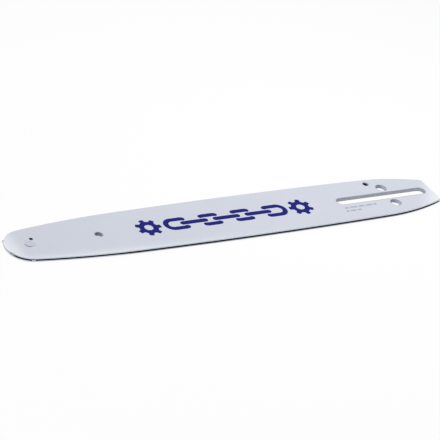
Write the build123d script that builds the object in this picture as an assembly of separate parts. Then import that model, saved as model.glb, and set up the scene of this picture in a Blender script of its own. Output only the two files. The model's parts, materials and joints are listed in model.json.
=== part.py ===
from build123d import *
import os
from math import asin, cos, degrees, floor, pi, sin, sqrt

# Laminated guide bar with a sprocket nose: two side plates and a narrower core plate leave a
# groove for the chain round the edge, and a toothed wheel on a roller bearing turns in the nose.
# The bar lies flat: X runs from nose to tail, Y across the bar, Z up through the laminations.

# Outline of the side plates
bar_length = 355.8           # nose rails to tail end
bar_width = 49.9             # rail to rail at the belly
nose_radius = 17.4           # rails round the nose
flank_radius = 624.0         # arc from the nose out to the belly
belly_radius = 4130.0        # the long, nearly straight rails
belly_from_nose = 195.6      # widest place, from the nose
tail_radius = 164.5          # arc that brings the rails in to the tail
tail_width = 27.0            # straight cut across the tail end
tail_corner_radius = 1.5

# Laminations and chain groove
plate_thickness = 0.85
core_thickness = 1.15        # also the width of the groove
groove_depth = 5.5
rail_bevel = 0.2             # on the outer edge of each rail

# Mounting slot and holes at the tail
slot_width = 8.3             # for two 8 mm studs
slot_length = 80.8
slot_to_tail = 6.1           # metal left between the slot and the tail end
adjuster_hole_diameter = 8.3
adjuster_to_tail = 40.0
adjuster_spacing = 20.4      # the bar can be turned over, so there is a hole on each side
oil_hole_diameter = 4.5
oil_hole_to_tail = 49.5
oil_hole_setback = 0.4       # hole centre inside the floor of the groove
oil_pocket_margin = 0.2      # the pocket in the core is this much wider than the oil hole

# Holes near the nose
hang_hole_diameter = 5.5
hang_hole_from_nose = 69.9
grease_hole_diameter = 2.4
grease_hole_angle = 56.4     # round the nose, from the tail direction

# Nose bearing
rivet_diameter = 6.0
rivet_gap = 0.02             # round the rivet, in the plates and the race
rivet_head_diameter = 7.3
rivet_head_height = 0.3      # low head on the upper plate
rivet_head_bevel = 0.15
race_wall = 2.4
roller_diameter = 1.7
bearing_clearance = 0.03     # each side of a roller
roller_spacing_gap = 0.09    # least gap between neighbouring rollers
bearing_end_play = 0.06      # rollers and sprocket to each side plate

# Nose sprocket
tooth_count = 7
tooth_reach = 0.8            # tips stand this far outside the nose rails
tooth_tip_width = 2.6
gullet_radius = 2.6
sprocket_rim = 4.0           # bearing bore to the bottom of a gullet
sprocket_turn = -105.5       # direction of the first tooth, from the tail direction
nose_pocket_clearance = 1.0  # tooth tips to the core plate

# Places and sizes that follow
tail_x = bar_length / 2
nose_x = nose_radius - bar_length / 2
belly_x = belly_from_nose - bar_length / 2
bar_thickness = 2 * plate_thickness + core_thickness
upper_plate_z = plate_thickness + core_thickness
rivet_hole_radius = rivet_diameter / 2 + rivet_gap
race_radius = rivet_hole_radius + race_wall
roller_circle_radius = race_radius + bearing_clearance + roller_diameter / 2
sprocket_bore_radius = roller_circle_radius + roller_diameter / 2 + bearing_clearance
gullet_bottom_radius = sprocket_bore_radius + sprocket_rim
tooth_tip_radius = nose_radius + tooth_reach
nose_pocket_radius = tooth_tip_radius + nose_pocket_clearance
nose = Pos(nose_x, 0, 0)


def circles_meet(center_a, radius_a, center_b, radius_b):
    """The two points where a pair of circles cross, the one with the smaller X first."""
    apart = center_b - center_a
    along = (radius_a**2 - radius_b**2 + apart.length**2) / (2 * apart.length)
    aside = sqrt(radius_a**2 - along**2)
    direction = apart.normalized()
    middle = center_a + direction * along
    sideways = direction.rotate(Axis.Z, 90) * aside
    return sorted([middle - sideways, middle + sideways], key=lambda point: point.X)


# Centres of the four arcs of the upper rail, each tangent to the next
nose_center = Vector(nose_x, 0)
belly_center = Vector(belly_x, bar_width / 2 - belly_radius)
tail_corner = Vector(tail_x, tail_width / 2)
flank_center = circles_meet(
    nose_center, flank_radius - nose_radius, belly_center, belly_radius - flank_radius
)[1]
tail_center = circles_meet(belly_center, belly_radius - tail_radius, tail_corner, tail_radius)[0]


def rail_height(x, inset):
    """Half the width of the bar at a place along the tail arc, less an inset."""
    return tail_center.Y + sqrt((tail_radius - inset) ** 2 - (x - tail_center.X) ** 2)


def bar_face(inset):
    """The outline of the bar, drawn in by an inset along its rails but not at the tail end."""
    nose_tip = nose_center - Vector(nose_radius - inset, 0)
    nose_end = nose_center + (nose_center - flank_center).normalized() * (nose_radius - inset)
    flank_end = belly_center + (flank_center - belly_center).normalized() * (belly_radius - inset)
    belly_end = belly_center + (tail_center - belly_center).normalized() * (belly_radius - inset)
    tail_end = Vector(tail_x, rail_height(tail_x, inset))
    rail = [
        RadiusArc(nose_tip, nose_end, nose_radius - inset),
        RadiusArc(nose_end, flank_end, flank_radius - inset),
        RadiusArc(flank_end, belly_end, belly_radius - inset),
        RadiusArc(belly_end, tail_end, tail_radius - inset),
    ]
    end_cut = Line(tail_end, Vector(tail_x, -tail_end.Y))
    return make_face(Curve() + rail + [mirror(arc, Plane.XZ) for arc in rail] + end_cut)


def mount_cuts():
    """The slot and the round holes that go through all three laminations."""
    slot = Pos(tail_x - slot_to_tail - slot_length / 2, 0) * SlotOverall(slot_length, slot_width)
    adjuster_holes = GridLocations(0, adjuster_spacing, 1, 2) * Circle(adjuster_hole_diameter / 2)
    hang_hole = Circle(hang_hole_diameter / 2)
    return [
        slot,
        Pos(tail_x - adjuster_to_tail, 0) * Sketch(adjuster_holes),
        Pos(hang_hole_from_nose - bar_length / 2, 0) * hang_hole,
    ]


def oil_place(side):
    """Centre of the oil hole: just inside the floor of the groove, on the +Y or the -Y side."""
    x = tail_x - oil_hole_to_tail
    return Pos(x, side * (rail_height(x, groove_depth) - oil_hole_setback))


def side_plate(oil_side, outer):
    """A side plate on Z = 0, its oil hole on one side of the slot, its outer face first or last in Z."""
    grease_hole = Rot(0, 0, grease_hole_angle) * Pos(roller_circle_radius, 0)
    face = bar_face(0)
    face = fillet(face.vertices().sort_by(Axis.X)[-2:], tail_corner_radius)
    face -= mount_cuts()
    face -= oil_place(oil_side) * Circle(oil_hole_diameter / 2)
    face -= nose * grease_hole * Circle(grease_hole_diameter / 2)
    face -= nose * Circle(rivet_hole_radius)
    plate = extrude(face, plate_thickness)
    outer_face = plate.faces().sort_by(Axis.Z)[outer]
    return chamfer(outer_face.outer_wire().edges(), rail_bevel)


def lower_side_plate():
    """The lower plate is countersunk for the flush end of the rivet."""
    countersink = Cone(
        rivet_head_diameter / 2,
        rivet_hole_radius,
        plate_thickness,
        align=(Align.CENTER, Align.CENTER, Align.MIN),
    )
    return side_plate(oil_side=-1, outer=0) - nose * countersink


def upper_side_plate():
    return Pos(0, 0, upper_plate_z) * side_plate(oil_side=1, outer=-1)


def core_plate():
    """The core stops short of the rails and of the sprocket, with an oil pocket on each side."""
    oil_pocket = Circle(oil_hole_diameter / 2 + oil_pocket_margin)
    face = bar_face(groove_depth) - mount_cuts()
    face -= nose * Circle(nose_pocket_radius)
    face -= [oil_place(side) * oil_pocket for side in (1, -1)]
    return Pos(0, 0, plate_thickness) * extrude(face, core_thickness)


def nose_rivet():
    """Turned profile: flush cone below, shank through race and plates, low head on top."""
    shank = rivet_diameter / 2
    head = rivet_head_diameter / 2
    head_top = bar_thickness + rivet_head_height
    profile = Polyline(
        (0, 0),
        (head - rivet_gap, 0),
        (shank, plate_thickness),
        (shank, bar_thickness),
        (head, bar_thickness),
        (head, head_top - rivet_head_bevel),
        (head - rivet_head_bevel, head_top),
        (0, head_top),
        close=True,
    )
    return nose * revolve(Plane.XZ * make_face(profile), Axis.Z)


def inner_race():
    ring = Circle(race_radius) - Circle(rivet_hole_radius)
    return nose * Pos(0, 0, plate_thickness) * extrude(ring, core_thickness)


def gullet():
    """A rounded gap between two teeth, on +X: flanks tangent to a round bottom."""
    center = gullet_bottom_radius + gullet_radius
    half_gap = pi / tooth_count - asin(tooth_tip_width / 2 / tooth_tip_radius)
    lip = Vector(tooth_tip_radius * cos(half_gap), tooth_tip_radius * sin(half_gap))
    to_lip = lip - Vector(center, 0)
    flank_angle = Vector(1, 0).get_angle(to_lip) - degrees(asin(gullet_radius / to_lip.length))
    touch = Vector(center, 0) + Vector(0, gullet_radius).rotate(Axis.Z, flank_angle)
    outside = lip + (lip - touch)
    wedge = Polyline(
        (center, 0),
        (touch.X, touch.Y),
        (outside.X, outside.Y),
        (outside.X, -outside.Y),
        (touch.X, -touch.Y),
        close=True,
    )
    return Pos(center, 0) * Circle(gullet_radius) + make_face(wedge)


def nose_sprocket():
    gap_turn = sprocket_turn + 180 / tooth_count
    gaps = PolarLocations(0, tooth_count, start_angle=gap_turn) * gullet()
    face = Circle(tooth_tip_radius) - gaps - Circle(sprocket_bore_radius)
    wheel = extrude(face, core_thickness - 2 * bearing_end_play)
    return nose * Pos(0, 0, plate_thickness + bearing_end_play) * wheel


def rollers():
    """A full ring of loose rollers between the race and the sprocket."""
    pitch = roller_diameter + roller_spacing_gap
    count = floor(pi / asin(pitch / 2 / roller_circle_radius))
    roller = extrude(Circle(roller_diameter / 2), core_thickness - 2 * bearing_end_play)
    ring = nose * Pos(0, 0, plate_thickness + bearing_end_play)
    return [ring * place * roller for place in PolarLocations(roller_circle_radius, count)]


pieces = {
    "side_plate_lower": lower_side_plate(),
    "core_plate": core_plate(),
    "side_plate_upper": upper_side_plate(),
    "nose_rivet": nose_rivet(),
    "inner_race": inner_race(),
    "nose_sprocket": nose_sprocket(),
}
for number, roller in enumerate(rollers(), start=1):
    pieces[f"roller_{number:02d}"] = roller

os.makedirs("parts", exist_ok=True)
for name, solid in pieces.items():
    export_step(solid, f"parts/{name}.step")
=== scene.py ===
import json
from math import asin, atan2, cos, degrees, hypot, pi, radians, sin

import bpy
from mathutils import Matrix, Vector
from mathutils.geometry import convex_hull_2d


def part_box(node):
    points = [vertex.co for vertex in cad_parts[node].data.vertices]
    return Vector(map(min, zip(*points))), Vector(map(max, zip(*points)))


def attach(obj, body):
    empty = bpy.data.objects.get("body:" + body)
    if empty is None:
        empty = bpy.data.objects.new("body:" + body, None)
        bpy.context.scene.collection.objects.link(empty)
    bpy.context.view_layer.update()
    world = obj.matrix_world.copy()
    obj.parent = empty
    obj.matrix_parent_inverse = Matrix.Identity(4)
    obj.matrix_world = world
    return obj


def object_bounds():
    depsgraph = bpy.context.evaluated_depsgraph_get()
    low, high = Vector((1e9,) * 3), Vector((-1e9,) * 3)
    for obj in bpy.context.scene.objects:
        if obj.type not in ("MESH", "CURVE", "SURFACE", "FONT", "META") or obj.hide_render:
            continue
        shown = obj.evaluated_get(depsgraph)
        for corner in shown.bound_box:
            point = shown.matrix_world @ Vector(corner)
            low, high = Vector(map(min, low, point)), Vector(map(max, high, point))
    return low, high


# Looks of a laminated guide bar: enamelled side plates with bare rails, a dark groove, a steel
# sprocket in the nose, a printed chain between two wheels along the face, and two rows of laser marks.
# Sizes are in millimetres, and become metres where a mesh, a node or a lamp takes them.

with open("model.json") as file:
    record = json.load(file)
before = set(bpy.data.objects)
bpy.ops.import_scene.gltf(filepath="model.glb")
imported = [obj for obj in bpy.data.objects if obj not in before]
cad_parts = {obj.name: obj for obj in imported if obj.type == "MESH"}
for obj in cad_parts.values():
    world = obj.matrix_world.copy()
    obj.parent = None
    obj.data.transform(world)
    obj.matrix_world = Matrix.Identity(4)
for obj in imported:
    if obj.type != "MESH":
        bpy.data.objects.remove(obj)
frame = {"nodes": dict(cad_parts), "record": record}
cad_low, cad_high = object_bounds()

MM = 0.001
face_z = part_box("side_plate_upper")[1].z / MM
nose_end_x = cad_low.x / MM
tail_end_x = cad_high.x / MM
rivet_low, rivet_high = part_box("nose_rivet")
nose_center = (rivet_low + rivet_high) / 2 / MM
nose_radius = nose_center.x - nose_end_x
mount_places = {mount["name"]: Vector(mount["pos_m"]) / MM for mount in frame["record"]["mounts"]}

# Punched openings of the plates: radius, and half of the straight run in X
slot_radius = 4.15
slot_half_run = 36.25
adjuster_radius = 4.15
hang_radius = 2.75
oil_radius = 2.25
grease_radius = 1.2
openings = {
    "bar_slot": (slot_radius, slot_half_run),
    "adjuster_hole_a": (adjuster_radius, 0),
    "adjuster_hole_b": (adjuster_radius, 0),
    "hang_hole": (hang_radius, 0),
    "grease_point": (grease_radius, 0),
}
oil_hole = (oil_radius, 0)


# Materials

# Sockets of a Mix node that mixes colours: its two colours, and its result
FIRST = 6
SECOND = 7
MIXED = 2


def linear(hex_colour):
    """An sRGB hex colour as linear RGBA."""
    shares = [int(hex_colour[i : i + 2], 16) / 255 for i in (0, 2, 4)]
    return [c / 12.92 if c <= 0.04045 else ((c + 0.055) / 1.055) ** 2.4 for c in shares] + [1.0]


def per_metre(size_mm):
    """How often a pattern of a given size comes in a metre."""
    return 1 / (size_mm * MM)


def add_node(tree, kind, sockets, **settings):
    """A node with its settings. A socket takes a plain value, or the output of another node."""
    made = tree.nodes.new(kind)
    for name, value in settings.items():
        setattr(made, name, value)
    for name, value in sockets.items():
        if isinstance(value, bpy.types.NodeSocket):
            tree.links.new(value, made.inputs[name])
        else:
            made.inputs[name].default_value = value
    return made


def new_material(name):
    """An empty material: its node tree, and the place on the part in metres."""
    material = bpy.data.materials.new(name)
    material.use_nodes = True
    tree = material.node_tree
    tree.nodes.clear()
    place = add_node(tree, "ShaderNodeTexCoord", {}).outputs["Object"]
    return material, tree, place


def towards(tree, place, start, full, direction=(1, 0, 0)):
    """0 up to one distance along a direction, rising smoothly to 1 at another. Unless another is given,
    the direction is that of the tail."""
    along = add_node(
        tree, "ShaderNodeVectorMath", {0: place, 1: direction}, operation="DOT_PRODUCT"
    ).outputs["Value"]
    return add_node(
        tree,
        "ShaderNodeMapRange",
        {"Value": along, "From Min": start * MM, "From Max": full * MM},
        interpolation_type="SMOOTHSTEP",
    ).outputs["Result"]


def drawn_out(tree, place, size_mm, run):
    """Noise of one size, such as tool lines, drawn out so many times along X, Y and Z."""
    stretched = add_node(
        tree,
        "ShaderNodeMapping",
        {"Vector": place, "Scale": [per_metre(size_mm * times) for times in run]},
    ).outputs["Vector"]
    return add_node(
        tree, "ShaderNodeTexNoise", {"Vector": stretched, "Scale": 1.0, "Detail": 2.0}
    ).outputs["Fac"]


def painted_rim_shade(tree, place, plate_openings):
    """0 on the open face, rising to 1 at the rim of each opening: where shade is painted on the rounded
    rims.
    """
    reach_mm = 0.7
    nearest = 0.0
    for name, (radius, half_run) in plate_openings.items():
        from_middle = add_node(
            tree, "ShaderNodeVectorMath", {0: place, 1: mount_places[name] * MM}, operation="SUBTRACT"
        ).outputs[0]
        aside = add_node(
            tree, "ShaderNodeVectorMath", {0: from_middle}, operation="ABSOLUTE"
        ).outputs[0]
        past_run = add_node(
            tree, "ShaderNodeVectorMath", {0: aside, 1: (half_run * MM, 0, 0)}, operation="SUBTRACT"
        ).outputs[0]
        outside = add_node(
            tree, "ShaderNodeVectorMath", {0: past_run, 1: (0, 0, 0)}, operation="MAXIMUM"
        ).outputs[0]
        level = add_node(
            tree, "ShaderNodeVectorMath", {0: outside, 1: (1, 1, 0)}, operation="MULTIPLY"
        ).outputs[0]
        away = add_node(tree, "ShaderNodeVectorMath", {0: level}, operation="LENGTH").outputs["Value"]
        rim = add_node(
            tree,
            "ShaderNodeMapRange",
            {"Value": away, "From Min": (radius + reach_mm) * MM, "From Max": radius * MM},
        ).outputs["Result"]
        nearest = add_node(
            tree, "ShaderNodeMath", {0: nearest, 1: rim}, operation="MAXIMUM"
        ).outputs[0]
    return nearest


def painted_rail_sheen(tree, place):
    """0 on the open face, rising steeply to 1 at the -Y rail, in full only near the nose: where a sheen
    is painted on the enamel.
    """
    reach_mm = 9
    steepness = 2.0
    none_from_x = 80
    full_from_x = -110
    # One arc that stays close to that rail from the nose to the middle of the bar
    arc_radius = 1612
    arc_center = Vector((-14.5, cad_low.y / MM + arc_radius, 0))
    from_center = add_node(
        tree, "ShaderNodeVectorMath", {0: place, 1: arc_center * MM}, operation="DISTANCE"
    ).outputs["Value"]
    near_rail = add_node(
        tree,
        "ShaderNodeMapRange",
        {"Value": from_center, "From Min": (arc_radius - reach_mm) * MM, "From Max": arc_radius * MM},
    ).outputs["Result"]
    steep = add_node(
        tree, "ShaderNodeMath", {0: near_rail, 1: steepness}, operation="POWER"
    ).outputs[0]
    near_nose = towards(tree, place, none_from_x, full_from_x)
    return add_node(tree, "ShaderNodeMath", {0: steep, 1: near_nose}, operation="MULTIPLY").outputs[0]


def stove_enamel(name, plate_openings):
    """Light grey stoving enamel, sprayed on steel sheet and baked: a smooth satin coat with a faint
    orange peel, slightly cloudy. It is paler with painted highlights at the nose, at one corner of the
    tail and along the -Y rail, and darker with painted shade round the punched openings."""
    cloud_mm = 38
    orange_peel_mm = 1.6
    peel_height_mm = 0.006
    smoothest = 0.34
    roughest = 0.44
    # Reach of the painted highlights at the nose and at one corner of the tail, and the way the tail's
    # one rises
    nose_highlight_mm = 14
    tail_highlight_mm = 20
    tail_half_width = 13.5
    tail_angle = radians(-35)
    tail_way = Vector((cos(tail_angle), sin(tail_angle), 0))
    tail_full = tail_way.dot(Vector((tail_end_x, -tail_half_width, 0)))
    material, tree, place = new_material(name)
    clouds = add_node(
        tree, "ShaderNodeTexNoise", {"Vector": place, "Scale": per_metre(cloud_mm), "Detail": 3.0}
    ).outputs["Fac"]
    coat = add_node(
        tree,
        "ShaderNodeMix",
        {"Factor": clouds, FIRST: linear("cbcfda"), SECOND: linear("d2d6e2")},
        data_type="RGBA",
    ).outputs[MIXED]
    # Painted highlights along the -Y rail, at the nose and at one corner of the tail, and painted shade
    # round the openings
    painted_highlights_and_shade = (
        (painted_rail_sheen(tree, place), "e1e5ee"),
        (towards(tree, place, nose_end_x + nose_highlight_mm, nose_end_x), "e9ecf3"),
        (towards(tree, place, tail_full - tail_highlight_mm, tail_full, tail_way), "e9ecf3"),
        (painted_rim_shade(tree, place, plate_openings), "8f939e"),
    )
    for share, colour in painted_highlights_and_shade:
        coat = add_node(
            tree,
            "ShaderNodeMix",
            {"Factor": share, FIRST: coat, SECOND: linear(colour)},
            data_type="RGBA",
        ).outputs[MIXED]
    satin = add_node(
        tree, "ShaderNodeMapRange", {"Value": clouds, "To Min": smoothest, "To Max": roughest}
    ).outputs["Result"]
    peel = add_node(
        tree, "ShaderNodeTexNoise", {"Vector": place, "Scale": per_metre(orange_peel_mm), "Detail": 1.0}
    ).outputs["Fac"]
    bumps = add_node(
        tree, "ShaderNodeBump", {"Height": peel, "Distance": peel_height_mm * MM}
    ).outputs["Normal"]
    shader = add_node(
        tree,
        "ShaderNodeBsdfPrincipled",
        {"Base Color": coat, "Roughness": satin, "Normal": bumps, "IOR": 1.5},
    )
    add_node(tree, "ShaderNodeOutputMaterial", {"Surface": shader.outputs[0]})
    return material


def painted_shade_enamel(name, dark, light, nose_side):
    """The same enamel on the punched walls of slot and holes, darker: painted shade for walls down in
    the openings. A dull coat, streaked by the marks of the punch. Walls that face the nose have a tone
    of their own, light and shade painted by which way the wall faces."""
    streak_mm = 0.5
    streak_height_mm = 0.01
    smoothest = 0.45
    roughest = 0.6
    # X of the normal of a wall that begins to face the nose, and of one that faces it fully
    turned_from = -0.4
    turned_fully = -1.0
    material, tree, place = new_material(name)
    streaks = drawn_out(tree, place, streak_mm, run=(1, 1, 8))
    streaked = add_node(
        tree,
        "ShaderNodeMix",
        {"Factor": streaks, FIRST: linear(dark), SECOND: linear(light)},
        data_type="RGBA",
    ).outputs[MIXED]
    # Painted light and shade by which way a wall faces: walls that face the nose take the nose_side
    # tone
    wall_normal = add_node(tree, "ShaderNodeNewGeometry", {}).outputs["Normal"]
    to_tail = add_node(tree, "ShaderNodeSeparateXYZ", {"Vector": wall_normal}).outputs["X"]
    to_nose = add_node(
        tree,
        "ShaderNodeMapRange",
        {"Value": to_tail, "From Min": turned_from, "From Max": turned_fully},
        interpolation_type="SMOOTHSTEP",
    ).outputs["Result"]
    coat = add_node(
        tree,
        "ShaderNodeMix",
        {"Factor": to_nose, FIRST: streaked, SECOND: linear(nose_side)},
        data_type="RGBA",
    ).outputs[MIXED]
    dull = add_node(
        tree, "ShaderNodeMapRange", {"Value": streaks, "To Min": smoothest, "To Max": roughest}
    ).outputs["Result"]
    ribs = add_node(
        tree, "ShaderNodeBump", {"Height": streaks, "Distance": streak_height_mm * MM}
    ).outputs["Normal"]
    shader = add_node(
        tree,
        "ShaderNodeBsdfPrincipled",
        {"Base Color": coat, "Roughness": dull, "Normal": ribs, "IOR": 1.5},
    )
    add_node(tree, "ShaderNodeOutputMaterial", {"Surface": shader.outputs[0]})
    return material


def rivet_enamel():
    """The enamel on the rivet head, a shade darker because it is thinner there. On one side its rim is
    darkened by painted shade, most in the middle of a short arc."""
    cloud_mm = 3
    smoothest = 0.36
    roughest = 0.46
    rim_from_mm = 3.3
    rim_to_mm = 3.6
    # Direction of the painted shade on the rim, and how far round it reaches
    shadow_angle = radians(-135)
    shadow_way = (cos(shadow_angle), sin(shadow_angle), 0)
    darkest_within = radians(20)
    fades_out_at = radians(65)
    material, tree, place = new_material("stove_enamel_rivet")
    clouds = add_node(
        tree, "ShaderNodeTexNoise", {"Vector": place, "Scale": per_metre(cloud_mm), "Detail": 2.0}
    ).outputs["Fac"]
    coat = add_node(
        tree,
        "ShaderNodeMix",
        {"Factor": clouds, FIRST: linear("c3c7d2"), SECOND: linear("cbcfdb")},
        data_type="RGBA",
    ).outputs[MIXED]
    outward = add_node(
        tree, "ShaderNodeVectorMath", {0: place, 1: nose_center * MM}, operation="SUBTRACT"
    ).outputs[0]
    level = add_node(
        tree, "ShaderNodeVectorMath", {0: outward, 1: (1, 1, 0)}, operation="MULTIPLY"
    ).outputs[0]
    away = add_node(tree, "ShaderNodeVectorMath", {0: level}, operation="LENGTH").outputs["Value"]
    direction = add_node(tree, "ShaderNodeVectorMath", {0: level}, operation="NORMALIZE").outputs[0]
    facing = add_node(
        tree, "ShaderNodeVectorMath", {0: direction, 1: shadow_way}, operation="DOT_PRODUCT"
    ).outputs["Value"]
    on_rim = add_node(
        tree,
        "ShaderNodeMapRange",
        {"Value": away, "From Min": rim_from_mm * MM, "From Max": rim_to_mm * MM},
    ).outputs["Result"]
    on_arc = add_node(
        tree,
        "ShaderNodeMapRange",
        {"Value": facing, "From Min": cos(fades_out_at), "From Max": cos(darkest_within)},
        interpolation_type="SMOOTHSTEP",
    ).outputs["Result"]
    # Painted shade on one side of the head's rim, in a dark grey
    film = add_node(tree, "ShaderNodeMath", {0: on_rim, 1: on_arc}, operation="MULTIPLY").outputs[0]
    tone = add_node(
        tree,
        "ShaderNodeMix",
        {"Factor": film, FIRST: coat, SECOND: linear("44474f")},
        data_type="RGBA",
    ).outputs[MIXED]
    satin = add_node(
        tree, "ShaderNodeMapRange", {"Value": clouds, "To Min": smoothest, "To Max": roughest}
    ).outputs["Result"]
    shader = add_node(
        tree, "ShaderNodeBsdfPrincipled", {"Base Color": tone, "Roughness": satin, "IOR": 1.5}
    )
    add_node(tree, "ShaderNodeOutputMaterial", {"Surface": shader.outputs[0]})
    return material


def groove_steel():
    """Inside of the plates: sheet steel as rolled, dark and blotchy under rust-proofing oil, and
    painted darker than the oiled core for the shade in the groove. At both ends painted light makes it
    pale and not metallic, less pale at the tail."""
    blotch_mm = 6
    smoothest = 0.42
    roughest = 0.58
    nose_painted_light_mm = 5
    tail_painted_light_mm = 14
    material, tree, place = new_material("oiled_sheet_steel_inside_painted_shade_and_light")
    blotches = add_node(
        tree, "ShaderNodeTexNoise", {"Vector": place, "Scale": per_metre(blotch_mm), "Detail": 4.0}
    ).outputs["Fac"]
    # Dark oiled steel, painted darker still for the shade in the groove
    tone = add_node(
        tree,
        "ShaderNodeMix",
        {"Factor": blotches, FIRST: linear("24262f"), SECOND: linear("32343f")},
        data_type="RGBA",
    ).outputs[MIXED]
    # Painted light at both ends of the groove, paler at the nose than at the tail
    painted_lights = (
        (towards(tree, place, nose_end_x + nose_painted_light_mm, nose_end_x), "eef0f5"),
        (towards(tree, place, tail_end_x - tail_painted_light_mm, tail_end_x), "c0c3cd"),
    )
    painted_light = 0.0
    for share, colour in painted_lights:
        tone = add_node(
            tree,
            "ShaderNodeMix",
            {"Factor": share, FIRST: tone, SECOND: linear(colour)},
            data_type="RGBA",
        ).outputs[MIXED]
        painted_light = add_node(tree, "ShaderNodeMath", {0: painted_light, 1: share}, operation="MAXIMUM").outputs[0]
    bare = add_node(
        tree, "ShaderNodeMapRange", {"Value": painted_light, "To Min": 1.0, "To Max": 0.0}
    ).outputs["Result"]
    dull = add_node(
        tree, "ShaderNodeMapRange", {"Value": blotches, "To Min": smoothest, "To Max": roughest}
    ).outputs["Result"]
    shader = add_node(
        tree, "ShaderNodeBsdfPrincipled", {"Base Color": tone, "Metallic": bare, "Roughness": dull}
    )
    add_node(tree, "ShaderNodeOutputMaterial", {"Surface": shader.outputs[0]})
    return material


def bearing_grease():
    """Dark lithium grease packed into the nose bearing: nearly black, wet and a little lumpy."""
    lump_mm = 0.9
    lump_height_mm = 0.05
    smoothest = 0.3
    roughest = 0.45
    material, tree, place = new_material("bearing_grease_dark")
    lumps = add_node(
        tree, "ShaderNodeTexNoise", {"Vector": place, "Scale": per_metre(lump_mm), "Detail": 2.0}
    ).outputs["Fac"]
    colour = add_node(
        tree,
        "ShaderNodeMix",
        {"Factor": lumps, FIRST: linear("0a0a0c"), SECOND: linear("141416")},
        data_type="RGBA",
    ).outputs[MIXED]
    wet = add_node(
        tree, "ShaderNodeMapRange", {"Value": lumps, "To Min": smoothest, "To Max": roughest}
    ).outputs["Result"]
    surface = add_node(
        tree, "ShaderNodeBump", {"Height": lumps, "Distance": lump_height_mm * MM}
    ).outputs["Normal"]
    shader = add_node(
        tree,
        "ShaderNodeBsdfPrincipled",
        {
            "Base Color": colour,
            "Roughness": wet,
            "Normal": surface,
            "IOR": 1.47,
            "Specular IOR Level": 0.25,
        },
    )
    add_node(tree, "ShaderNodeOutputMaterial", {"Surface": shader.outputs[0]})
    return material


def steel(name, dark, light, rough, patch_mm, line_mm, line_run, line_height_mm):
    """A bare steel: patches between two tones, and tool lines that run in one direction."""
    rough_spread = 0.07
    material, tree, place = new_material(name)
    patches = add_node(
        tree, "ShaderNodeTexNoise", {"Vector": place, "Scale": per_metre(patch_mm), "Detail": 4.0}
    ).outputs["Fac"]
    tone = add_node(
        tree,
        "ShaderNodeMix",
        {"Factor": patches, FIRST: linear(dark), SECOND: linear(light)},
        data_type="RGBA",
    ).outputs[MIXED]
    lines = drawn_out(tree, place, line_mm, line_run)
    gloss = add_node(
        tree,
        "ShaderNodeMapRange",
        {"Value": lines, "To Min": rough - rough_spread, "To Max": rough + rough_spread},
    ).outputs["Result"]
    ridges = add_node(
        tree, "ShaderNodeBump", {"Height": lines, "Distance": line_height_mm * MM}
    ).outputs["Normal"]
    shader = add_node(
        tree,
        "ShaderNodeBsdfPrincipled",
        {"Base Color": tone, "Metallic": 1.0, "Roughness": gloss, "Normal": ridges},
    )
    add_node(tree, "ShaderNodeOutputMaterial", {"Surface": shader.outputs[0]})
    return material


def rail_steel(name, shaded_from_x):
    """Rails, induction hardened and ground bright along the bar: long fine lines and faint heat tints.
    Painted shade darkens a rail from a place along the bar on towards the tail, and painted light pales
    the far side of the nose tip."""
    tint_mm = 9
    grinding_line_mm = 0.12
    line_height_mm = 0.004
    smoothest = 0.35
    roughest = 0.49
    shade_fade_mm = 30
    # Reach and way of the painted light on the far side of the nose tip
    painted_light_mm = 5
    painted_light_angle = radians(160)
    painted_light_way = Vector((cos(painted_light_angle), sin(painted_light_angle), 0))
    painted_light_full = painted_light_way.dot(nose_center) + nose_radius
    material, tree, place = new_material(name)
    tints = add_node(
        tree, "ShaderNodeTexNoise", {"Vector": place, "Scale": per_metre(tint_mm), "Detail": 4.0}
    ).outputs["Fac"]
    plain_tone = add_node(
        tree,
        "ShaderNodeMix",
        {"Factor": tints, FIRST: linear("b6bac6"), SECOND: linear("caceda")},
        data_type="RGBA",
    ).outputs[MIXED]
    # Tone of a rail in painted shade
    shaded_tone = add_node(
        tree,
        "ShaderNodeMix",
        {"Factor": tints, FIRST: linear("7c818f"), SECOND: linear("9297a5")},
        data_type="RGBA",
    ).outputs[MIXED]
    # Share of painted shade towards the tail, and of painted light on the far side of the nose tip
    film = towards(tree, place, shaded_from_x - shade_fade_mm, shaded_from_x)
    painted_light = towards(tree, place, painted_light_full - painted_light_mm, painted_light_full, painted_light_way)
    tone = add_node(
        tree, "ShaderNodeMix", {"Factor": film, FIRST: plain_tone, SECOND: shaded_tone}, data_type="RGBA"
    ).outputs[MIXED]
    tone = add_node(
        tree,
        "ShaderNodeMix",
        {"Factor": painted_light, FIRST: tone, SECOND: linear("eef0f5")},
        data_type="RGBA",
    ).outputs[MIXED]
    bare = add_node(
        tree, "ShaderNodeMapRange", {"Value": painted_light, "To Min": 1.0, "To Max": 0.0}
    ).outputs["Result"]
    lines = drawn_out(tree, place, grinding_line_mm, run=(40, 40, 1))
    gloss = add_node(
        tree, "ShaderNodeMapRange", {"Value": lines, "To Min": smoothest, "To Max": roughest}
    ).outputs["Result"]
    ridges = add_node(
        tree, "ShaderNodeBump", {"Height": lines, "Distance": line_height_mm * MM}
    ).outputs["Normal"]
    shader = add_node(
        tree,
        "ShaderNodeBsdfPrincipled",
        {"Base Color": tone, "Metallic": bare, "Roughness": gloss, "Normal": ridges},
    )
    add_node(tree, "ShaderNodeOutputMaterial", {"Surface": shader.outputs[0]})
    return material


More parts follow.
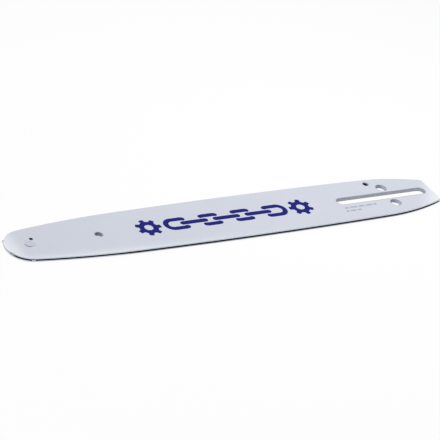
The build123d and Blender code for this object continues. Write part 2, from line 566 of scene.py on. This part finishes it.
def print_ink():
    """Dark blue screen-print ink, cured on the enamel: matt, with the faint mottle of the mesh it was
    pressed through. The mesh is 0.15 mm and is drawn at 0.6 mm, so that it shows."""
    mesh_mm = 0.6
    mesh_height_mm = 0.004
    smoothest = 0.55
    roughest = 0.7
    material, tree, place = new_material("screen_print_ink_blue")
    mottle = add_node(
        tree, "ShaderNodeTexNoise", {"Vector": place, "Scale": per_metre(mesh_mm), "Detail": 2.0}
    ).outputs["Fac"]
    colour = add_node(
        tree,
        "ShaderNodeMix",
        {"Factor": mottle, FIRST: linear("15186b"), SECOND: linear("1d2179")},
        data_type="RGBA",
    ).outputs[MIXED]
    matt = add_node(
        tree, "ShaderNodeMapRange", {"Value": mottle, "To Min": smoothest, "To Max": roughest}
    ).outputs["Result"]
    grain = add_node(
        tree, "ShaderNodeBump", {"Height": mottle, "Distance": mesh_height_mm * MM}
    ).outputs["Normal"]
    shader = add_node(
        tree,
        "ShaderNodeBsdfPrincipled",
        {
            "Base Color": colour,
            "Roughness": matt,
            "Normal": grain,
            "IOR": 1.5,
            "Specular IOR Level": 0.1,
        },
    )
    add_node(tree, "ShaderNodeOutputMaterial", {"Surface": shader.outputs[0]})
    return material


def laser_mark():
    """Enamel burnt grey by a laser: dull, and speckled by the overlapping spots, about 0.1 mm across,
    drawn at 0.4 mm so that they show."""
    spot_mm = 0.4
    smoothest = 0.6
    roughest = 0.75
    material, tree, place = new_material("laser_marked_enamel")
    spots = add_node(
        tree, "ShaderNodeTexVoronoi", {"Vector": place, "Scale": per_metre(spot_mm)}
    ).outputs["Distance"]
    colour = add_node(
        tree,
        "ShaderNodeMix",
        {"Factor": spots, FIRST: linear("7c808c"), SECOND: linear("9195a2")},
        data_type="RGBA",
    ).outputs[MIXED]
    dull = add_node(
        tree, "ShaderNodeMapRange", {"Value": spots, "To Min": smoothest, "To Max": roughest}
    ).outputs["Result"]
    shader = add_node(
        tree, "ShaderNodeBsdfPrincipled", {"Base Color": colour, "Roughness": dull, "IOR": 1.5}
    )
    add_node(tree, "ShaderNodeOutputMaterial", {"Surface": shader.outputs[0]})
    return material


upper_enamel = stove_enamel("stove_enamel_upper_plate", {**openings, "oil_feed_upper": oil_hole})
lower_enamel = stove_enamel("stove_enamel_lower_plate", {**openings, "oil_feed_lower": oil_hole})
# Walls of the openings darker than the face: painted shade, darkest in the hang hole. Hole walls that
# face the nose are painted lighter, slot walls that face it darker.
wall_enamel = painted_shade_enamel("stove_enamel_wall_painted_shade", "9b9fac", "adb1bf", nose_side="bbbfca")
slot_wall_enamel = painted_shade_enamel("stove_enamel_slot", "a4a8b5", "b6bac8", nose_side="a0a4b0")
hang_wall_enamel = painted_shade_enamel("stove_enamel_hang_wall_painted_shade", "818693", "959aa7", nose_side="959aa7")
head_enamel = rivet_enamel()
ink = print_ink()
marking = laser_mark()
# Inside of the plates and the sprocket's flanks: oiled steel with painted shade, and painted light at
# both ends
inside_steel = groove_steel()
grease = bearing_grease()
# The upper rail has no painted shade, so there the place where it starts is beyond the tail.
upper_rail = rail_steel("ground_rail_steel_upper", shaded_from_x=2 * tail_end_x)
# The lower rail is in painted shade from x = -85 mm on towards the tail
lower_rail = rail_steel("ground_rail_steel_lower_painted_shade", shaded_from_x=-85)
# Sheet steel as rolled, with the dark film of rust-proofing oil: dull, blotchy, faint rolling lines.
oiled_steel = steel(
    "oiled_rolled_sheet_steel",
    "464952",
    "5a5d68",
    rough=0.5,
    patch_mm=6,
    line_mm=0.2,
    line_run=(30, 1, 1),
    line_height_mm=0.003,
)
# Case-hardened steel of the sprocket, ground on faces and tips: even bright grey, short grinding lines.
sprocket_steel = steel(
    "case_hardened_ground_steel",
    "aaadb4",
    "c1c4ca",
    rough=0.32,
    patch_mm=4,
    line_mm=0.1,
    line_run=(1, 25, 25),
    line_height_mm=0.003,
)
# Bearing steel, ground and lapped: the smoothest metal here, almost a mirror.
bearing_steel = steel(
    "lapped_bearing_steel",
    "a9acb0",
    "bdbfc3",
    rough=0.2,
    patch_mm=2,
    line_mm=0.08,
    line_run=(1, 1, 12),
    line_height_mm=0.001,
)


# Dressing of the CAD nodes

# A face belongs to a flat side, bevels included, if more than this share of its normal is along Z
flat_share = 0.5


def dress(name, choose):
    """Gives each face of a CAD node the material that choose picks for it."""
    mesh = frame["nodes"][name].data
    picked = [choose(mesh, face) for face in mesh.polygons]
    materials = list(dict.fromkeys(picked))
    mesh.materials.clear()
    for material in materials:
        mesh.materials.append(material)
    for face, material in zip(mesh.polygons, picked):
        face.material_index = materials.index(material)


def rim_of(mesh):
    """The corners of the mesh that lie on its outer rim, seen from above."""
    digits = 7
    points = [tuple(vertex.co.xy) for vertex in mesh.vertices]
    rounded = [(round(x, digits), round(y, digits)) for x, y in points]
    rim = {rounded[i] for i in convex_hull_2d(points)}
    return {i for i, point in enumerate(rounded) if point in rim}


def beside(point, center, reach):
    """Whether a point of a mesh is within a reach of a centre, seen from above."""
    return (point.xy / MM - center.xy).length < reach


def punched_wall(point):
    """The enamel on a wall, by the opening that the wall belongs to."""
    slack = 1
    if beside(point, mount_places["hang_hole"], hang_radius + slack):
        return hang_wall_enamel
    from_slot = point / MM - mount_places["bar_slot"]
    in_width = abs(from_slot.y) < slot_radius + slack
    in_length = abs(from_slot.x) < slot_half_run + slot_radius + slack
    return slot_wall_enamel if in_width and in_length else wall_enamel


def dress_plate(name, outward, enamel, rail):
    """A side plate: enamel outside, enamel with painted shade in the holes, bare ground rails, oiled
    steel inside, painted darker for the shade in the groove. The hang hole's walls are painted in the
    deepest shade, and grease has crept up the hole over the nose bearing."""
    rim = rim_of(frame["nodes"][name].data)
    bearing_reach = 12

    def choose(mesh, face):
        outward_share = face.normal.z * outward
        if outward_share > flat_share:
            return enamel
        if outward_share < -flat_share:
            return inside_steel
        if any(i in rim for i in face.vertices):
            return rail
        if beside(face.center, nose_center, bearing_reach):
            return grease
        return punched_wall(face.center)

    dress(name, choose)


def dress_core():
    """The core plate: the groove floor is bare and oily, the walls of slot and holes are enamelled."""
    rim = rim_of(frame["nodes"]["core_plate"].data)
    nose_pocket_reach = 30

    def choose(mesh, face):
        is_flat = abs(face.normal.z) > flat_share
        on_rim = any(i in rim for i in face.vertices)
        if is_flat or on_rim or beside(face.center, nose_center, nose_pocket_reach):
            return oiled_steel
        return punched_wall(face.center)

    dress("core_plate", choose)


def dress_rivet():
    """The rivet: both ends went through the paint line with the plates, the shank and cone are bare."""
    level_share = 0.9
    tolerance = 0.01
    head_from = (face_z - tolerance) * MM

    def choose(mesh, face):
        in_head = all(mesh.vertices[i].co.z > head_from for i in face.vertices)
        return head_enamel if in_head or abs(face.normal.z) > level_share else bearing_steel

    dress("nose_rivet", choose)


def dress_sprocket():
    """The sprocket: faces and tooth tips are ground bright, flanks and bore take the inside steel, dark
    with oil and painted darker still for the shade in the groove.
    """
    tolerance = 0.05
    center = nose_center.xy * MM
    wheel = frame["nodes"]["nose_sprocket"].data
    reach = max((vertex.co.xy - center).length for vertex in wheel.vertices)
    tip_from = reach - tolerance * MM

    def choose(mesh, face):
        on_tip = all((mesh.vertices[i].co.xy - center).length > tip_from for i in face.vertices)
        return sprocket_steel if on_tip or abs(face.normal.z) > flat_share else inside_steel

    dress("nose_sprocket", choose)


def dress_bearing(name):
    """The race or a roller: lapped steel, with dark grease lying on top."""
    dress(name, lambda mesh, face: grease if face.normal.z > flat_share else bearing_steel)


dress_plate("side_plate_upper", 1, upper_enamel, upper_rail)
dress_plate("side_plate_lower", -1, lower_enamel, lower_rail)
dress_core()
dress_rivet()
dress_sprocket()
for node_name in frame["nodes"]:
    if node_name == "inner_race" or node_name.startswith("roller_"):
        dress_bearing(node_name)


# Print and marks on the upper face


def turn_round(center, radius, start, end, steps):
    """Points on an arc, angles in degrees."""
    angles = [radians(start + (end - start) * i / steps) for i in range(steps + 1)]
    return [(center[0] + radius * cos(a), center[1] + radius * sin(a)) for a in angles]


def stroke_outline(path, width, cap_steps=8):
    """The outline of a pen stroke along an open path, round at both ends, counter-clockwise."""
    left = []
    right = []
    for i, (x, y) in enumerate(path):
        x0, y0 = path[max(i - 1, 0)]
        x1, y1 = path[min(i + 1, len(path) - 1)]
        run = hypot(x1 - x0, y1 - y0)
        aside_x = -(y1 - y0) / run * width / 2
        aside_y = (x1 - x0) / run * width / 2
        left.append((x + aside_x, y + aside_y))
        right.append((x - aside_x, y - aside_y))
    caps = []
    for (x, y), (from_x, from_y) in ((path[-1], right[-1]), (path[0], left[0])):
        start = atan2(from_y - y, from_x - x)
        angles = [start + pi * i / cap_steps for i in range(1, cap_steps)]
        caps.append([(x + width / 2 * cos(a), y + width / 2 * sin(a)) for a in angles])
    return right + caps[0] + left[::-1] + caps[1]


def neighbours(count):
    """Each place round a closed outline, with the one after it."""
    return [(i, (i + 1) % count) for i in range(count)]


class Film:
    """A thin film lying on the upper face, made up of flat closed shapes."""

    def __init__(self, name, thickness):
        self.name = name
        self.low = face_z * MM
        self.high = (face_z + thickness) * MM
        self.points = []
        self.faces = []

    def rows(self, outline):
        """Adds an outline at the bottom and at the top of the film, and numbers the points of both."""
        first = len(self.points)
        count = len(outline)
        self.points += [(x * MM, y * MM, self.low) for x, y in outline]
        self.points += [(x * MM, y * MM, self.high) for x, y in outline]
        return list(range(first, first + count)), list(range(first + count, first + 2 * count))

    def wall(self, low, high):
        """The edge of a shape, between a row at the bottom and one at the top."""
        for i, j in neighbours(len(low)):
            self.faces.append((low[i], low[j], high[j], high[i]))

    def filled(self, outline):
        """A filled shape, its outline counter-clockwise."""
        low, high = self.rows(outline)
        self.wall(low, high)
        self.faces += [tuple(reversed(low)), tuple(high)]

    def ring(self, outer, inner):
        """A ring between two outlines with as many points, both counter-clockwise."""
        outer_low, outer_high = self.rows(outer)
        inner_low, inner_high = self.rows(inner)
        self.wall(outer_low, outer_high)
        self.wall(inner_low[::-1], inner_high[::-1])
        for i, j in neighbours(len(outer)):
            self.faces.append((outer_high[i], outer_high[j], inner_high[j], inner_high[i]))
            self.faces.append((inner_low[i], inner_low[j], outer_low[j], outer_low[i]))

    def lay(self, material):
        """Makes the film a piece of its own that rides on the bar."""
        mesh = bpy.data.meshes.new(self.name)
        mesh.from_pydata(self.points, [], self.faces)
        mesh.materials.append(material)
        mesh.update()
        piece = bpy.data.objects.new(self.name, mesh)
        bpy.context.scene.collection.objects.link(piece)
        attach(piece, "bar")


def printed_sprocket(film, center_x, first_tooth):
    """A seven-tooth wheel with a round hole, its first tooth at an angle in radians from the tail
    direction. A cosine, cut off at both ends and smoothed, rises from the root of a tooth to its
    tip."""
    teeth = 7
    steps_per_tooth = 24
    steps = steps_per_tooth * teeth
    tip_radius = 9.8
    root_radius = 7.2
    hole_radius = 3.2
    half_way = 0.5
    steepness = 1.1
    outer = []
    inner = []
    for i in range(steps):
        angle = first_tooth + 2 * pi * i / steps
        rise = min(max(half_way + steepness * cos(2 * pi * teeth * i / steps), 0), 1)
        smooth_rise = rise * rise * (3 - 2 * rise)
        radius = root_radius + (tip_radius - root_radius) * smooth_rise
        outer.append((center_x + radius * cos(angle), radius * sin(angle)))
        inner.append((center_x + hole_radius * cos(angle), hole_radius * sin(angle)))
    film.ring(outer, inner)


def printed_chain(film, start_x, end_x):
    """Open links in a row, joined by links seen edge-on, which pass over the ends of the open ones."""
    links = 4
    gap = 4.4
    height = 14.6
    pen = 4.0
    bar_pen = 4.2
    bar_end_inside = 3.0
    bare_round_bar = 0.8
    corner_steps = 10
    end_steps = 24
    length = (end_x - start_x - (links - 1) * gap) / links
    bend = (height - pen) / 2
    cut = bar_pen / 2 + bare_round_bar + pen / 2
    cut_angle = degrees(asin(cut / bend))
    for number in range(links):
        left = start_x + number * (length + gap)
        left_bend = (left + pen / 2 + bend, 0)
        right_bend = (left + length - pen / 2 - bend, 0)
        upper_right = turn_round(right_bend, bend, cut_angle, 90, corner_steps)
        upper_left = turn_round(left_bend, bend, 90, 180 - cut_angle, corner_steps)
        lower_left = turn_round(left_bend, bend, 180 + cut_angle, 270, corner_steps)
        lower_right = turn_round(right_bend, bend, 270, 360 - cut_angle, corner_steps)
        if number == 0:
            whole_end = turn_round(left_bend, bend, 90, 270, end_steps)
            sides = [upper_right + whole_end + lower_right]
        elif number == links - 1:
            whole_end = turn_round(right_bend, bend, -90, 90, end_steps)
            sides = [lower_left + whole_end + upper_left]
        else:
            sides = [upper_right + upper_left, lower_left + lower_right]
        for side in sides:
            film.filled(stroke_outline(side, pen))
        if number < links - 1:
            bar_from = left + length - pen - bar_end_inside
            bar_to = left + length + gap + pen + bar_end_inside
            film.filled(stroke_outline([(bar_from, 0), (bar_to, 0)], bar_pen))


def laser_ticks(film):
    """Rows of short upright ticks in groups, beside the slot."""
    pitch = 1.25
    half_run = 0.6
    pen = 0.7
    # First tick in X, the row in Y, and the ticks in each group
    rows = (
        (92.8, -8.8, (3, 5, 4, 5, 2)),
        (91.7, -12.9, (2, 4, 3)),
    )
    for first_x, row_y, groups in rows:
        x = first_x
        for ticks in groups:
            for _ in range(ticks):
                upright = [(x, row_y - half_run), (x, row_y + half_run)]
                film.filled(stroke_outline(upright, pen, cap_steps=4))
                x += pitch
            x += pitch


chain_print = Film("chain_print", thickness=0.03)
printed_sprocket(chain_print, center_x=-68.6, first_tooth=0)
printed_sprocket(chain_print, center_x=58.4, first_tooth=pi)
printed_chain(chain_print, start_x=-56.4, end_x=46.2)
chain_print.lay(ink)

laser_marks = Film("laser_marks", thickness=0.01)
laser_ticks(laser_marks)
laser_marks.lay(marking)


# Floor, light and camera


def seen_directly(tree):
    """1 for what the camera sees, straight or in gloss and glass, and 0 for light that falls on
    things."""
    rays = add_node(tree, "ShaderNodeLightPath", {})
    seen = rays.outputs["Is Camera Ray"]
    for kind in ("Is Glossy Ray", "Is Transmission Ray"):
        seen = add_node(
            tree, "ShaderNodeMath", {0: seen, 1: rays.outputs[kind]}, operation="MAXIMUM"
        ).outputs[0]
    return seen


def studio_floor():
    """White seamless paper: matt, with a fine tooth, bright enough to leave only a faint shadow."""
    half_side = 3000
    drop = 0.3
    paper_tooth_mm = 0.8
    tooth_height_mm = 0.01
    glow_share = 0.9
    ways = ((-1, -1), (1, -1), (1, 1), (-1, 1))
    corners = [(x * half_side * MM, y * half_side * MM, -drop * MM) for x, y in ways]
    mesh = bpy.data.meshes.new("studio_floor")
    mesh.from_pydata(corners, [], [(0, 1, 2, 3)])
    floor = bpy.data.objects.new("studio_floor", mesh)
    bpy.context.scene.collection.objects.link(floor)
    material, tree, place = new_material("seamless_white_paper")
    tooth = add_node(
        tree, "ShaderNodeTexNoise", {"Vector": place, "Scale": per_metre(paper_tooth_mm)}
    ).outputs["Fac"]
    grain = add_node(
        tree, "ShaderNodeBump", {"Height": tooth, "Distance": tooth_height_mm * MM}
    ).outputs["Normal"]
    paper = add_node(tree, "ShaderNodeBsdfDiffuse", {"Color": linear("fcfcfc"), "Normal": grain})
    glow = add_node(tree, "ShaderNodeEmission", {"Color": linear("ffffff"), "Strength": 1.0})
    share = add_node(
        tree, "ShaderNodeMath", {0: seen_directly(tree), 1: glow_share}, operation="MULTIPLY"
    ).outputs[0]
    both = add_node(tree, "ShaderNodeMixShader", {0: share, 1: paper.outputs[0], 2: glow.outputs[0]})
    add_node(tree, "ShaderNodeOutputMaterial", {"Surface": both.outputs[0]})
    mesh.materials.append(material)


def studio_light():
    """A pale room, a large soft box beyond the nose and a smaller one over the tail half. Gloss shows
    the white room, and the boxes are hidden from it, so that no view along the face is a glare."""
    room_light = 0.41
    world = bpy.data.worlds.new("studio")
    bpy.context.scene.world = world
    world.use_nodes = True
    tree = world.node_tree
    tree.nodes.clear()
    room = add_node(tree, "ShaderNodeBackground", {"Color": linear("ffffff"), "Strength": room_light})
    white = add_node(tree, "ShaderNodeBackground", {"Color": linear("ffffff"), "Strength": 1.0})
    both = add_node(
        tree, "ShaderNodeMixShader", {0: seen_directly(tree), 1: room.outputs[0], 2: white.outputs[0]}
    )
    add_node(tree, "ShaderNodeOutputWorld", {"Surface": both.outputs[0]})
    # Place, aim, size and power in watts
    soft_boxes = {
        "key_soft_box": ((-1000, -50, 500), (60, 0, 0), (500, 400), 4.5),
        "tail_soft_box": ((170, 60, 520), (120, 0, 0), (300, 300), 1.53),
    }
    for name, (place, aim, size, power) in soft_boxes.items():
        lamp = bpy.data.lights.new(name, "AREA")
        lamp.shape = "RECTANGLE"
        lamp.size, lamp.size_y = [side * MM for side in size]
        lamp.energy = power
        box = bpy.data.objects.new(name, lamp)
        box.location = Vector(place) * MM
        box.visible_glossy = False
        box.rotation_euler = (Vector(aim) - Vector(place)).to_track_quat("-Z", "Y").to_euler()
        bpy.context.scene.collection.objects.link(box)


def camera():
    """The photograph's view: a long lens over the near edge, from the nose side, tilted a little."""
    frame_px = 440
    focal_px = 1926.0
    turn = radians(36.78)
    height = radians(30.69)
    tilt = radians(13.10)
    aim = Vector((2.52, 0, 0))
    aim_px = (234.734, 219.156)
    distance = 1373.7
    level = Matrix.Rotation(turn, 3, "Z")
    lower = Matrix(((1, 0, 0), (0, -sin(height), -cos(height)), (0, cos(height), -sin(height))))
    roll = Matrix.Rotation(tilt, 3, "Z")
    right, down, forward = roll @ lower @ level
    off_x, off_y = [(px - frame_px / 2) / focal_px * distance for px in aim_px]
    place = aim - right * off_x - down * off_y - forward * distance
    lens = bpy.data.cameras.new("camera")
    lens.sensor_width = 36.0
    lens.lens = focal_px / frame_px * lens.sensor_width
    lens.clip_start = 0.05
    lens.clip_end = 20.0
    eye = bpy.data.objects.new("camera", lens)
    axes = Matrix((right, -down, -forward)).transposed()
    eye.matrix_world = Matrix.Translation(place * MM) @ axes.to_4x4()
    bpy.context.scene.collection.objects.link(eye)
    bpy.context.scene.camera = eye


studio_floor()
studio_light()
camera()
bpy.context.scene.view_settings.view_transform = "Standard"
